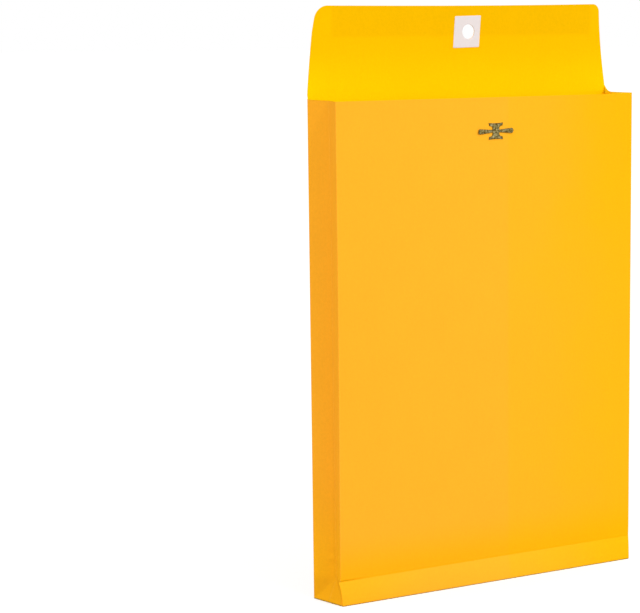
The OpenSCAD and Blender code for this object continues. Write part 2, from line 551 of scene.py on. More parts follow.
        # painted shade: a dark line just over the band's top edge
        line = strip * s.fall(at.over, *self.band_line_shade_z)
        towards_end = s.step(s.math("ABSOLUTE", at.x), self.band_end_x, self.right_end)
        return [
            (at.outer * seam, self.beyond_seam),
            (at.outer * s.step(drift, self.seam_edge, self.right_end), self.far_right),
            (at.outer * upper_right, self.top_right),
            (strip * s.fall(at.over, *self.over_band_z), self.over_band),
            (line, self.band_line_shade),
            # painted shade, darker still on the band line's left part
            (line * s.fall(at.x, *self.edge_shade_x), self.edge_painted_shade),
            (at.front * (1.0 - at.above) * towards_end, self.band_end),
            (at.side * s.fall(at.z, *self.side_low_z), self.side_low),
            (at.side * s.fall(at.z, *self.side_foot_z), self.side_foot),
            # painted shade: a dark line along the left side's rim
            (at.side * s.larger(at.fold * -1.0, 0.0), self.edge_painted_shade),
        ]

    def painted_light_slopes(self, s: Shader, at: PaperPoint) -> list[Wire]:
        """Painted light over the front, whose green grows to the right and up, over the band, and beside
        the left crease.

        Args:
            s: the material's builder.
            at: the point.

        Returns:
            Colours to multiply by.
        """
        along = self.panel_along / self.right_end
        up = self.panel_up / self.half_height
        # painted light: the front lighter to the right and up, the band lifted and lighter to the right
        panel = at.x * along + (at.z - self.half_height) * up
        band = at.x * (self.band_along / self.right_end) + self.band_light_gain
        green = at.front * (panel * at.above + band * (1.0 - at.above)) + 1.0
        # painted light: the side lighter beside the left crease
        crease_painted_light = s.step(at.x, *self.crease_x) * s.step(at.y, *self.crease_y) * at.side
        return [s.colour(1.0, green, 1.0), s.grey(crease_painted_light * self.crease_light_gain + 1.0)]

    def make(self, name: str) -> bpy.types.Material:
        """Builds the paper's material.

        The colour is the outside's or the inside's by the sheet's own attribute, tinted from place
        to place, mottled by soft clouds, short fibres and fine streaks, with paler fibres where the
        sheet is folded. Some of it is painted light and shade: a paler inside low down and in the
        notch, dark lines over the band, along the left side's rim and along the foot, and lighter
        green to the front's right and top, on the band and beside the left crease.

        Args:
            name: the material's name.

        Returns:
            The material.
        """
        s = Shader(bpy.data.materials.new(name))
        at = self.read(s)
        mottle = s.noise(self.mottle_size, 4.0, 0.62)
        streaks = s.noise(self.streak_size, 2.0)
        fibres = s.noise(self.fibre_size, 3.0, 0.7)
        gum = self.gummed(s, at)

        paper = s.blend(at.inner, self.outside, self.lining(s, at))
        for mask, tint in self.tints(s, at):
            paper = s.tint(mask, paper, tint)
        paper = s.blend(gum, paper, self.gum)
        # painted shadow: a dark line along the foot
        paper = s.tint(s.fall(at.z, *self.foot_shadow_z), paper, self.foot_painted_shadow)
        mottled = (mottle - 0.5) * self.mottle_tone + (streaks - 0.5) * self.streak_tone
        tone = self.tone + at.clouds * self.cloud_tone + mottled
        for shade in [*self.painted_light_slopes(s, at), s.grey(tone)]:
            paper = s.tint(1.0, paper, shade)
        paper = s.blend(s.step(fibres, *self.fibre_range) * self.fibre_share, paper, self.fibre)
        rubbed = s.step(s.noise(self.wear_size, 3.0), *self.wear_range)
        paper = s.blend(s.larger(at.fold, 0.0) * rubbed * self.wear_share, paper, self.wear)

        height = mottle * self.mottle_relief + fibres * self.fibre_relief
        surface = s.principled(
            Base_Color=paper,
            Roughness=self.roughness + (mottle - 0.5) * self.mottle_rough - gum * self.gum_gloss,
            Normal=s.bump(height, self.relief, self.relief_depth),
            Specular_IOR_Level=self.specular,
        )
        return s.output(surface)


@dataclass(frozen=True)
class PatchFinish:
    """White reinforcing paper, slightly warm, with long soft fibres."""

    face: Colour = (0.70, 0.642, 0.63, 1.0)
    fibre: Colour = (0.63, 0.572, 0.55, 1.0)
    along_size: tuple[float, float, float] = (2.2, 0.3, 0.28)
    across_size: tuple[float, float, float] = (0.28, 0.3, 2.2)
    fibre_range: Span = (0.42, 0.70)
    fibre_share: float = 0.45
    roughness: float = 0.70
    weave_rough: float = 0.2
    specular: float = 0.2
    relief: float = 0.5
    relief_depth: float = 0.05

    def make(self, name: str) -> bpy.types.Material:
        """Builds the patch's material: a fine crossed fibre pattern on a warm white.

        Args:
            name: the material's name.

        Returns:
            The material.
        """
        s = Shader(bpy.data.materials.new(name))
        along = s.noise(self.along_size, 3.0, 0.65)
        across = s.noise(self.across_size, 3.0, 0.65)
        weave = (along + across) * 0.5
        share = s.step(weave, *self.fibre_range) * self.fibre_share
        surface = s.principled(
            Base_Color=s.blend(share, self.face, self.fibre),
            Roughness=self.roughness + (weave - 0.5) * self.weave_rough,
            Normal=s.bump(weave, self.relief, self.relief_depth),
            Specular_IOR_Level=self.specular,
        )
        return s.output(surface)


@dataclass(frozen=True)
class MetalFinish:
    """Plated sheet steel, dulled in handling: mottled, darker along its edges, finely scratched."""

    bright: Colour = (0.56, 0.49, 0.24, 1.0)
    middle: Colour = (0.25, 0.20, 0.065, 1.0)
    dull: Colour = (0.070, 0.042, 0.004, 1.0)
    blot_size: float = 1.5
    blot_range: Span = (0.38, 0.58)
    spot_size: float = 0.9
    spot_range: Span = (0.50, 0.66)
    spot_share: float = 0.9
    edge_share: float = 0.8
    scratch_size: tuple[float, float, float] = (3.5, 0.08, 0.08)
    roughness: float = 0.40
    blot_rough: float = 0.3
    scratch_rough: float = 0.1
    scratch_relief: float = 0.3
    blot_relief: float = 0.7
    relief: float = 0.6
    relief_depth: float = 0.08

    def make(self, name: str) -> bpy.types.Material:
        """Builds the clasp's material: dark blots and bright spots on a greenish brown, and scratches.

        Args:
            name: the material's name.

        Returns:
            The material.
        """
        s = Shader(bpy.data.materials.new(name))
        edge = s.attribute("fold")
        blots = s.noise(self.blot_size, 4.0, 0.75)
        spots = s.noise(self.spot_size, 2.0, 0.6)
        scratches = s.noise(self.scratch_size, 2.0)
        colour = s.blend(s.step(blots, *self.blot_range), self.dull, self.middle)
        colour = s.blend(s.step(spots, *self.spot_range) * self.spot_share, colour, self.bright)
        colour = s.blend(edge * self.edge_share, colour, self.dull)
        height = scratches * self.scratch_relief + blots * self.blot_relief
        worn = self.roughness + (blots - 0.5) * self.blot_rough
        surface = s.principled(
            Base_Color=colour,
            Metallic=1.0,
            Roughness=worn + (scratches - 0.5) * self.scratch_rough,
            Normal=s.bump(height, self.relief, self.relief_depth),
        )
        return s.output(surface)


@dataclass(frozen=True)
class StudioFinish:
    """White paint for the floor, which lights the object less than it shows."""

    seen: Colour = (0.96, 0.96, 0.96, 1.0)
    as_light: Colour = (0.42, 0.42, 0.42, 1.0)
    glow: float = 0.82
    contact: Span = (0.2, 3.0)
    foot_x: float = 113.9
    foot_front: float = -16.0
    foot_turn: float = 1.7 / 228.6
    foot_back: float = 13.9

    def make(self, name: str) -> bpy.types.Material:
        """Builds the floor's material: matt white, mostly self-bright where it is seen.

        Its own brightness keeps shadows faint. It ends at the line where the object stands, so the
        contact stays dark.

        Args:
            name: the material's name.

        Returns:
            The material.
        """
        s = Shader(bpy.data.materials.new(name))
        x, y, _ = s.axes()
        beside = s.math("ABSOLUTE", x) - self.foot_x
        before = self.foot_front + x * self.foot_turn - y
        away = s.larger(s.larger(beside, before), y - self.foot_back)
        direct = s.directly_seen()
        matt = s.principled(
            Base_Color=s.blend(direct, self.as_light, self.seen),
            Roughness=1.0,
            Specular_IOR_Level=0.0,
        )
        white = s.wire(s.node("ShaderNodeEmission", {}, {"Strength": 1.0}))
        share = direct * s.step(away, *self.contact) * self.glow
        return s.output(s.wire(s.node("ShaderNodeMixShader", {}, {0: share, 1: matt, 2: white})))


# Sheets of points


def make_mesh(name: str, points: np.ndarray, corners: np.ndarray, sizes: np.ndarray) -> bpy.types.Mesh:
    """Makes a smooth-shaded mesh.

    Args:
        name: the mesh's name.
        points: places in millimetres.
        corners: point numbers of all faces, one face after another.
        sizes: how many corners each face has.

    Returns:
        The mesh, in metres.
    """
    mesh = bpy.data.meshes.new(name)
    mesh.vertices.add(len(points))
    mesh.vertices.foreach_set("co", (points * MM).astype(np.float32).reshape(-1))
    mesh.loops.add(len(corners))
    mesh.loops.foreach_set("vertex_index", corners.astype(np.int32))
    mesh.polygons.add(len(sizes))
    starts = np.concatenate([[0], np.cumsum(sizes)[:-1]]).astype(np.int32)
    mesh.polygons.foreach_set("loop_start", starts)
    mesh.polygons.foreach_set("use_smooth", np.ones(len(sizes), bool))
    mesh.update(calc_edges=True)
    mesh.validate()
    return mesh


def link(name: str, mesh: bpy.types.Mesh) -> bpy.types.Object:
    """Puts a mesh into the scene as an object at the origin.

    Args:
        name: the object's name.
        mesh: its mesh.

    Returns:
        The object.
    """
    made = bpy.data.objects.new(name, mesh)
    bpy.context.scene.collection.objects.link(made)
    return made


def point_normals(points: np.ndarray, corners: np.ndarray, sizes: np.ndarray) -> np.ndarray:
    """Works out the normal at each point of a surface.

    Args:
        points: places in millimetres.
        corners: point numbers of all faces, one face after another.
        sizes: how many corners each face has.

    Returns:
        An array with a row for each point.
    """
    surface = make_mesh("surface", points, corners, sizes)
    normals = np.zeros(len(points) * 3)
    surface.vertices.foreach_get("normal", normals)
    bpy.data.meshes.remove(surface)
    return normals.reshape(-1, 3)


def open_edges(corners: np.ndarray, sizes: np.ndarray, count: int) -> tuple[np.ndarray, np.ndarray]:
    """Finds the edges that only one face has.

    An edge runs from each corner to the next one of its face, and a neighbour has it the other way
    round.

    Args:
        corners: point numbers of all faces, one face after another.
        sizes: how many corners each face has.
        count: how many points there are.

    Returns:
        The numbers of each edge's first and last point.
    """
    starts = np.concatenate([[0], np.cumsum(sizes)[:-1]])
    following = np.arange(len(corners)) + 1
    following[starts + sizes - 1] = starts
    head, tail = corners, corners[following]
    alone = ~np.isin(head * count + tail, tail * count + head)
    return head[alone], tail[alone]


@dataclass
class Sheet:
    """An open surface made of points and the faces between them, which can be given a thickness."""

    points: list[np.ndarray] = field(default_factory=list)
    quads: list[np.ndarray] = field(default_factory=list)
    caps: list[np.ndarray] = field(default_factory=list)
    folds: list[np.ndarray] = field(default_factory=list)
    count: int = 0

    def add_points(self, xyz: np.ndarray, fold: np.ndarray | None = None) -> np.ndarray:
        """Adds points in millimetres.

        Args:
            xyz: an array whose last axis is x, y, z.
            fold: how sharply the sheet is folded at each point, 0 to 1, or down to -1 where a cut
                edge gets a dark line of painted shade; none means flat. On metal it is how near an edge is.

        Returns:
            The points' numbers, in the array's own shape.
        """
        flat = xyz.reshape(-1, 3)
        numbers = np.arange(self.count, self.count + len(flat)).reshape(xyz.shape[:-1])
        self.points.append(flat)
        marks = np.zeros(len(flat)) if fold is None else np.broadcast_to(fold, xyz.shape[:-1])
        self.folds.append(np.asarray(marks, float).reshape(-1))
        self.count += len(flat)
        return numbers

    def add_grid(self, numbers: np.ndarray, ring: bool = False, keep: np.ndarray | None = None) -> None:
        """Adds the quads between the rows and columns of a grid of point numbers.

        Args:
            numbers: the grid, rows first.
            ring: join the last column to the first.
            keep: which quads to make, where some are left out.
        """
        if ring:
            numbers = np.concatenate([numbers, numbers[:, :1]], axis=1)
        quads = np.stack(
            [numbers[:-1, :-1], numbers[:-1, 1:], numbers[1:, 1:], numbers[1:, :-1]], axis=-1
        )
        self.quads.append(quads[keep] if keep is not None else quads.reshape(-1, 4))

    def add_cap(self, numbers: np.ndarray) -> None:
        """Adds one many-sided face."""
        self.caps.append(np.asarray(numbers))

    def solid(self, name: str, thickness: float, finish: bpy.types.Material) -> bpy.types.Object:
        """Gives the sheet a thickness behind its face and makes it an object.

        Each point p with normal n gets a second point p - thickness * n. The second layer is the
        first one turned over, and every open edge gets a quad that joins the two layers.

        Args:
            name: the object's name.
            thickness: millimetres.
            finish: the object's material.

        Returns:
            The closed object, with the attributes inner (1 on the second layer) and fold.
        """
        points, quads = np.concatenate(self.points), np.concatenate(self.quads)
        folds = np.concatenate(self.folds)
        number = len(points)
        corners = np.concatenate([quads.reshape(-1), *self.caps])
        sizes = np.concatenate([np.full(len(quads), 4), [len(c) for c in self.caps]]).astype(int)
        behind = points - thickness * point_normals(points, corners, sizes)
        a, b = open_edges(corners, sizes, number)
        rim = np.stack([b, a, a + number, b + number], axis=-1)
        turned = [quads[:, ::-1].reshape(-1) + number, *[c[::-1] + number for c in self.caps]]
        every = np.concatenate([corners, *turned, rim.reshape(-1)])
        totals = np.concatenate([sizes, sizes, np.full(len(rim), 4)])

        mesh = make_mesh(name, np.concatenate([points, behind]), every, totals)
        mesh.set_sharp_from_angle(angle=SHARP_ANGLE)
        layer = np.concatenate([np.zeros(number), np.ones(number)])
        for key, values in (("inner", layer), ("fold", np.concatenate([folds, folds]))):
            mesh.attributes.new(key, "FLOAT", "POINT").data.foreach_set("value", values)
        mesh.materials.append(finish)
        return link(name, mesh)


def spaced(stops: Sequence[float], steps: Sequence[int]) -> np.ndarray:
    """Evenly spaced values between stops.

    Args:
        stops: where the spacing changes.
        steps: how many intervals there are between each stop and the next.

    Returns:
        The values, both ends among them.
    """
    parts = [np.linspace(a, b, n, endpoint=False) for a, b, n in zip(stops, stops[1:], steps)]
    return np.concatenate([*parts, [stops[-1]]])


def rounded(start: np.ndarray, corner: np.ndarray, end: np.ndarray, steps: int) -> np.ndarray:
    """Points on the curve (1-u)^2 start + 2u(1-u) corner + u^2 end.

    Args:
        start: where the curve begins, one row for each curve.
        corner: the corners that it rounds.
        end: where it ends.
        steps: how many parts it has.

    Returns:
        The points between start and end, without these two.
    """
    u = (np.arange(1, steps) / steps)[:, None]
    start, corner, end = start[:, None, :], corner[:, None, :], end[:, None, :]
    return (1 - u) ** 2 * start + 2 * u * (1 - u) * corner + u**2 * end


def arc(radius: float, over: np.ndarray) -> np.ndarray:
    """A circle's half width at a distance from its middle, sqrt(radius^2 - over^2)."""
    return np.sqrt(np.maximum(radius**2 - over**2, 0))


def around(rows: np.ndarray, columns: np.ndarray) -> tuple[np.ndarray, np.ndarray]:
    """Walks once round a block of a grid.

    Args:
        rows: the block's rows.
        columns: its columns.

    Returns:
        The row and the column of each place on its outline, in order, each place once.
    """
    r0, r1, c0, c1 = rows[0], rows[-1], columns[0], columns[-1]
    low, high = np.full(c1 - c0, r0), np.full(c1 - c0, r1)
    left, right = np.full(r1 - r0, c0), np.full(r1 - r0, c1)
    loop_rows = np.concatenate([low, np.arange(r0, r1), high, np.arange(r1, r0, -1)])
    loop_columns = np.concatenate([np.arange(c0, c1), right, np.arange(c1, c0, -1), left])
    return loop_rows, loop_columns


# The folded sheet


@dataclass
class FoldedSheet:
    """The paper body, made of one sheet: panels, gussets, bottom, and the open flap. Millimetres."""

    width: float = 228.6
    height: float = 304.8
    paper: float = 0.25

    # The front: its face, the edges of its sides, and its foot, which swells out below the fold line
    front: float = -14.3
    edge_in_left: float = 0.65
    edge_out_right: float = 1.2
    seam_edge: float = 15.0
    seam_step: float = 0.03
    fold_left: float = 14.7
    fold_right: float = 15.4
    swell_left: float = 2.3
    swell_right: float = 0.6
    swell_power: float = 1.7
    recess: float = 0.12
    recess_above: float = 0.6
    recess_width: float = 3.4

    # The back, at its foot and its rim
    back_foot: float = 13.9
    back_pull: float = 1.6
    back_out: float = 1.1
    back_rim_left: float = 16.1
    back_rim_right: float = 11.2

    # The sides' centre creases
    inset_foot: float = 5.4
    inset_deep: float = 1.6
    inset_slack: float = 35.0
    inset_left: float = 5.2
    inset_right: float = 5.5
    even_share: float = 0.45
    crease_foot: float = 14.3
    crease_soft: float = 0.3
    crumple: float = 0.35
    crumple_z: float = 27.0
    crumple_tall: float = 6.0
    crumple_place: float = 0.8
    crumple_wide: float = 0.15
    crumple_wave: float = 0.8

    # The rim
    rim_bend: float = 8.0
    front_drop: float = 1.7
    fall_left: float = 0.2
    fall_right: float = 0.6
    shoulder_rise: float = 2.6
    shoulder_run: float = 10.0
    rim_rise: float = 0.5
    rim_run: float = 24.0

    # The flap
    flap_height: float = 55.0
    taper_left: float = 5.7
    taper_right: float = 5.75
    lean_left: float = 1.1
    lean_right: float = 1.5
    corner_left: float = 7.5
    corner_right: float = 4.8
    ease_left: float = 1.35
    ease_run: float = 16.5
    ease_power: float = 1.2
    flap_foot_run: float = 0.8
    lean_back: float = 0.3
    curl_forward: float = 0.4
    edge_sag: float = 0.4
    edge_rise: float = 0.45
    hole_radius: float = 4.6
    hole_right: float = 4.9
    hole_below_edge: float = 16.3

    # Folds and the spacing of the points
    fold_round: float = 0.5
    foot_round: float = 0.5
    fold_steps: int = 5
    fold_mark: float = 0.6
    seam_pair: float = 0.08
    first_row: float = 0.9
    last_row: float = 0.5
    rows_past_fold: float = 17.0
    rows_past_crumples: float = 35.0
    beside_fold: float = 0.5
    wide_columns: int = 22
    narrow_columns: int = 17
    flap_foot_rows: Span = (0.5, 2.0)
    hole_block: float = 8.0
    hole_columns: int = 8
    hole_rings: tuple[float, ...] = (0.4, 0.75, 0.93, 1.0)
    arc_rows: int = 16

    def __post_init__(self) -> None:
        """Works out the sizes that follow from the others."""
        self.half_width = self.width / 2
        self.gusset = math.hypot((self.back_rim_left - self.front) / 2, self.inset_left)
        closed = self.back_rim_left - self.back_rim_right
        self.turn = math.atan(closed / self.width)
        self.rim_length = math.hypot(self.width, closed)
        self.hole_height = self.flap_height - self.hole_below_edge
        self.hole_along = self.half_width + self.hole_right

    def fold_height(self, share: np.ndarray) -> np.ndarray:
        """Height of the fold line along the front, from left (0) to right (1)."""
        return self.fold_left + (self.fold_right - self.fold_left) * share

    def front_y(self, z: np.ndarray, share: np.ndarray, recessed: bool = True) -> np.ndarray:
        """Front face at each height.

        Above the fold line it is flat. Below it, the face swells out by swell * (1 - (z/fold)^power).
        Just above the fold line it dips in by recess, as a bell curve, where the glued flap grips it.

        Args:
            z: heights.
            share: places from left (0) to right (1).
            recessed: with the dip or without.

        Returns:
            The face's y.
        """
        fold = self.fold_height(share)
        swell = self.swell_left + (self.swell_right - self.swell_left) * share
        y = self.front - swell * (1 - np.clip(z / fold, 0, 1) ** self.swell_power)
        if recessed:
            bell = np.exp(-(((z - fold - self.recess_above) / self.recess_width) ** 2))
            y = y + self.recess * bell
        return y

    def back_y(self, share: np.ndarray, z: np.ndarray) -> np.ndarray:
        """Back face, straight along its foot and its rim, and between them.

        Args:
            share: places from left (0) to right (1).
            z: heights.

        Returns:
            The face's y.
        """
        rim = self.back_rim_left + (self.back_rim_right - self.back_rim_left) * share
        foot = self.back_foot - self.back_pull * (1 - share)
        return foot + (rim - foot) * z / self.height

    def front_edges(self, z: np.ndarray) -> tuple[np.ndarray, np.ndarray]:
        """Places of the front's two side edges at each height.

        The left edge stands in below the middle, by a smooth step. The right edge moves out evenly
        towards the rim.

        Args:
            z: heights.

        Returns:
            The x of the left and of the right edge.
        """
        t = np.clip(2 * z / self.height - 1, 0, 1)
        left = -self.half_width + self.edge_in_left * (1 - t**2 * (3 - 2 * t))
        return left, self.half_width + self.edge_out_right * z / self.height

    def inset(self, share: np.ndarray, z: np.ndarray, right: bool) -> np.ndarray:
        """How far a side stands in, from its edge (share 0) to its centre crease (share 1).

        It is the soft minimum of two planes, (a + b - sqrt((a - b)^2 + soft^2)) / 2: the gusset's
        half, which deepens towards the crease, and the flat triangle over the bottom, which leans
        in from the foot. They meet along the slanting folds. The crease comes out again towards the
        rim, partly evenly and partly as exp(-depth/slack). A few small waves crumple its foot.

        Args:
            share: place across the half, 0 to 1.
            z: heights.
            right: the right side, or the left one, whose crease is deeper.

        Returns:
            The inset.
        """
        at_rim = self.inset_right if right else self.inset_left
        foot = self.inset_foot if right else self.inset_foot + self.inset_deep
        at_foot = math.exp(-self.height / self.inset_slack)
        near_rim = np.exp(-(self.height - z) / self.inset_slack) - at_foot
        out = self.even_share * z / self.height + (1 - self.even_share) * near_rim
        half = (foot - (foot - at_rim) * out) * share
        triangle = foot * z / self.crease_foot + 0 * share
        soft = self.crease_soft * np.tanh(np.minimum(half, triangle))
        lower = (half + triangle - np.sqrt((half - triangle) ** 2 + soft**2)) / 2
        high = ((z - self.crumple_z) / self.crumple_tall) ** 2
        aside = ((share - self.crumple_place) / self.crumple_wide) ** 2
        return lower - self.crumple * np.exp(-high - aside) * np.sin(z * self.crumple_wave)

    def gusset_half(self, which: Panel, share: np.ndarray, z: np.ndarray) -> tuple[np.ndarray, np.ndarray]:
        """Half of a side gusset, between an edge of the body and the side's centre crease.

        Its y runs evenly from the edge to half-way between front and back, and its x stands in by
        the inset. Near the body's edge it follows that edge.

        Args:
            which: the panel.
            share: places across it, 0 to 1, anticlockwise.
            z: heights.

        Returns:
            The x and the y.
        """
        right = which in (Panel.RIGHT_FRONT, Panel.RIGHT_BACK)
        at_front = which in (Panel.RIGHT_FRONT, Panel.LEFT_FRONT)
        from_edge = share if which in (Panel.RIGHT_FRONT, Panel.LEFT_BACK) else 1 - share
        front, back = self.front_y(z, float(right)), self.back_y(float(right), z)
        edge = front if at_front else back
        left_edge, right_edge = self.front_edges(z)
        x = (1 if right else -1) * (self.half_width - self.inset(from_edge, z, right))
        y = edge + ((front + back) / 2 - edge) * from_edge
        if which is Panel.RIGHT_FRONT:
            x = x + (right_edge - self.half_width) * (1 - from_edge)
            y = y + self.seam_step * (1 - from_edge)
        elif which is Panel.LEFT_FRONT:
            x = x + (left_edge + self.half_width) * (1 - from_edge)
        elif which is Panel.LEFT_BACK:
            x = x - self.back_out * (1 - z / self.height) * (1 - from_edge)
        return x, y

    def panel(self, which: Panel, share: np.ndarray, z: np.ndarray) -> np.ndarray:
        """Points of one panel.

        Args:
            which: the panel.
            share: places across it, 0 to 1, anticlockwise seen from above.
            z: heights.

        Returns:
            An array of (heights, places, 2) with x and y.
        """
        zz, ff = z[:, None], share[None, :]
        if which is Panel.FRONT:
            left_edge, right_edge = self.front_edges(zz)
            x = left_edge + (right_edge - left_edge) * ff
            y = self.front_y(zz, ff) + self.seam_step * (x > self.seam_edge)
        elif which is Panel.BACK:
            x = self.half_width - self.width * ff - self.back_out * ff * (1 - zz / self.height)
            y = self.back_y(1 - ff, zz)
        else:
            x, y = self.gusset_half(which, ff, zz)
        return np.stack(np.broadcast_arrays(x, y), axis=-1)

    def heights(self) -> np.ndarray:
        """Heights of the sheet's rows, closest at the foot, the fold lines and the rim.

        Returns:
            The heights.
        """
        foot = self.foot_round * (1 - np.cos(np.linspace(0, QUARTER_TURN, 5)))
        bend, last = self.height - self.rim_bend, self.height - self.last_row
        stops = [self.first_row, self.rows_past_fold, self.rows_past_crumples, bend, last, self.height]
        return np.concatenate([foot, spaced(stops, [27, 15, 36, 5, 1])])

    def shares(self, which: Panel) -> np.ndarray:
        """Places across one panel, with a close pair at each end so that the folds stay crisp.

        The front has close pairs at the seam's edge too, and the back a finer block at the hole.

        Args:
            which: the panel.

        Returns:
            The places, between 0 and 1.
        """
        length = self.width if which in (Panel.FRONT, Panel.BACK) else self.gusset
        near, next_in = self.fold_round / length, (self.fold_round + self.beside_fold) / length
        stops, steps = [], [1, self.wide_columns, 1]
        if which is Panel.FRONT:
            seam = (self.half_width + self.seam_edge) / length
            tight = self.seam_pair / length
            stops = [seam - 4 * tight, seam - tight, seam + tight, seam + 4 * tight]
            steps = [1, self.wide_columns, 1, 1, 1, self.narrow_columns, 1]
        elif which is Panel.BACK:
            hole = 1 - self.hole_along / length
            block = self.hole_block / length
            stops = [hole - block, hole + block]
            steps = [1, self.narrow_columns, self.hole_columns, self.narrow_columns, 1]
        return spaced([near, next_in, *stops, 1 - next_in, 1 - near], steps)

    def rim_offset(self, rim: np.ndarray, panels: np.ndarray) -> np.ndarray:
        """How far the rim stands above its nominal height at each place round the body.

        The cut falls along the sides by a power of the share of the way to the front, a low one on
        the left. By the flap's right foot the rim rises over the gusset's back half by
        rise * (1 - distance/run)^2, and it rises evenly over its last stretch to the right end.

        Args:
            rim: x and y of the rim's places.
            panels: the panel that each place is on.

        Returns:
            The heights over the nominal rim.
        """
        back = self.back_y((rim[:, 0] + self.half_width) / self.width, np.array(self.height))
        to_front = np.clip((back - rim[:, 1]) / (back - self.front), 0, 1)
        power = np.where(rim[:, 0] < 0, self.fall_left, self.fall_right)
        near = np.clip(1 - (back - rim[:, 1]) / self.shoulder_run, 0, 1)
        shoulder = self.shoulder_rise * near**2 * (np.floor(panels) == Panel.RIGHT_BACK)
        end = np.clip(1 - (self.half_width - rim[:, 0]) / self.rim_run, 0, 1)
        return shoulder + self.rim_rise * end - self.front_drop * to_front**power

    def ring(self, z: np.ndarray) -> tuple[np.ndarray, np.ndarray, np.ndarray]:
        """All points round the body at each height, with each fold rounded.

        Args:
            z: heights.

        Returns:
            The points (heights, places, 3), the fold marks of the places, and the number of the
            panel that each is on, with a half added on the fold after it.
        """
        parts, marks, numbers = [], [], []
        panels = [self.panel(k, self.shares(k), z) for k in Panel]
        corners = [self.panel(k, np.array([0.0]), z)[:, 0] for k in Panel]
        for k in Panel:
            here, following = panels[k], (k + 1) % len(Panel)
            start, end = here[:, -1], panels[following][:, 0]
            parts += [here, rounded(start, corners[following], end, self.fold_steps)]
            ends = np.zeros(here.shape[1])
            ends[[0, -1]] = self.fold_mark
            marks += [ends, np.ones(self.fold_steps - 1)]
            numbers += [np.full(len(ends), float(k)), np.full(self.fold_steps - 1, k + 0.5)]
        xy, numbers = np.concatenate(parts, axis=1), np.concatenate(numbers)
        tuck = self.foot_round - arc(self.foot_round, np.maximum(self.foot_round - z, 0))
        xy[..., 0] *= (1 - tuck / self.half_width)[:, None]
        xy[..., 1] *= (1 - tuck / self.back_foot)[:, None]
        upper = np.clip((z - self.height + self.rim_bend) / self.rim_bend, 0, 1)
        high = z[:, None] + upper[:, None] * self.rim_offset(xy[-1], numbers)[None, :]
        return np.concatenate([xy, high[..., None]], axis=-1), np.concatenate(marks), numbers

    def flap_edges(self, up: np.ndarray) -> tuple[np.ndarray, np.ndarray]:
        """Left and right edge of the flap at each height above the rim, measured along the rim.

        The left side leans in by taper * v^lean and the right by taper * (1 - (1 - v)^lean), with v
        the share of the height. Near the top each turns into its corner's arc:
        inset = r - sqrt(r^2 - (height over the arc's foot)^2), on top of the lean. The left side
        leans in a little more over the last stretch below the top, as ease * w^power, with w the
        share of that stretch.

        Args:
            up: heights above the rim.

        Returns:
            The left and the right edges.
        """
        v = up / self.flap_height
        w = np.clip(1 - (self.flap_height - up) / self.ease_run, 0, 1)
        foot = self.fold_round * np.exp(-up / self.flap_foot_run)

        def corner(radius: float) -> np.ndarray:
            """The arc's own part of the inset."""
            return radius - arc(radius, np.clip(up - (self.flap_height - radius), 0, radius))

        ease = self.ease_left * w**self.ease_power
        left = foot + self.taper_left * v**self.lean_left + ease + corner(self.corner_left)
        lean = self.taper_right * (1 - (1 - v) ** self.lean_right)
        return left, self.rim_length - (foot + lean + corner(self.corner_right))

    def flap_point(self, along: np.ndarray, up: np.ndarray, out: float = 0.0) -> np.ndarray:
        """Places on the flap's outer face.

        The flap stands on the back panel's rim, turned with it. It leans back a little half-way
        up, as sin(pi v), and its top edge comes forward again, as v^3. That edge sags, as
        v^3 sin(pi a), and rises to the right, as v^3 a^4, with v the share of the flap's height
        and a that of its length.

        Args:
            along: distance along the rim from the left corner.
            up: height above the rim.
            out: distance in front of the outer face.

        Returns:
            Points in an array whose last axis is x, y, z.
        """
        v = up / self.flap_height
        away = self.lean_back * np.sin(math.pi * v) - self.curl_forward * v**3 - out
        x = -self.half_width + along * math.cos(self.turn) + away * math.sin(self.turn)
        y = self.back_rim_left - along * math.sin(self.turn) + away * math.cos(self.turn)
        a = along / self.rim_length
        z = self.height + up + v**3 * (self.edge_rise * a**4 - self.edge_sag * np.sin(math.pi * a))
        return np.stack(np.broadcast_arrays(x, y, z), axis=-1)

    def flap_heights(self) -> np.ndarray:
        """Heights of the flap's rows above the rim, closest in the corners' arcs.

        Returns:
            The heights.
        """
        hole, block = self.hole_height, self.hole_block
        low = spaced([*self.flap_foot_rows, hole - block, hole + block], [2, 10, self.hole_columns])
        turn = np.linspace(0, QUARTER_TURN, self.arc_rows + 1)[1:]
        return np.concatenate([low, hole + block + (self.flap_height - (hole + block)) * np.sin(turn)])

    def add_body(self, sheet: Sheet) -> np.ndarray:
        """Adds the body's rows and its bottom, with a mark along the left side's cut edge for painted
        shade.

        Args:
            sheet: the sheet that they are added to.

        Returns:
            The numbers of the points along the back's rim, as a row.
        """
        points, marks, panels = self.ring(self.heights())
        marks = np.repeat(marks[None, :], len(points), axis=0)
        # the left side's rim row is marked -1 for a line of painted shade
        marks[-1, (panels >= Panel.LEFT_BACK) & (panels < Panel.LEFT_FRONT + 0.5)] = -1.0
        body = sheet.add_points(points, marks)
        sheet.add_grid(body, ring=True)
        sheet.add_cap(body[0, ::-1])
        return body[-1:, panels == Panel.BACK]

    def add_flap(self, sheet: Sheet, rim: np.ndarray) -> None:
        """Adds the flap: a grid with a block left out, and in it rings that close in on the hole.

        Args:
            sheet: the sheet that it is added to.
            rim: the numbers of the points that it stands on, as a row.
        """
        shares, up = self.shares(Panel.BACK), self.flap_heights()
        across = (shares - shares[0]) / (shares[-1] - shares[0])
        left, right = self.flap_edges(up)
        along = right[:, None] + (left - right)[:, None] * across[None, :]
        flap = np.concatenate([rim, sheet.add_points(self.flap_point(along, up[:, None]))])
        along = np.concatenate([along[:1], along])
        up = np.concatenate([[0.0], up])

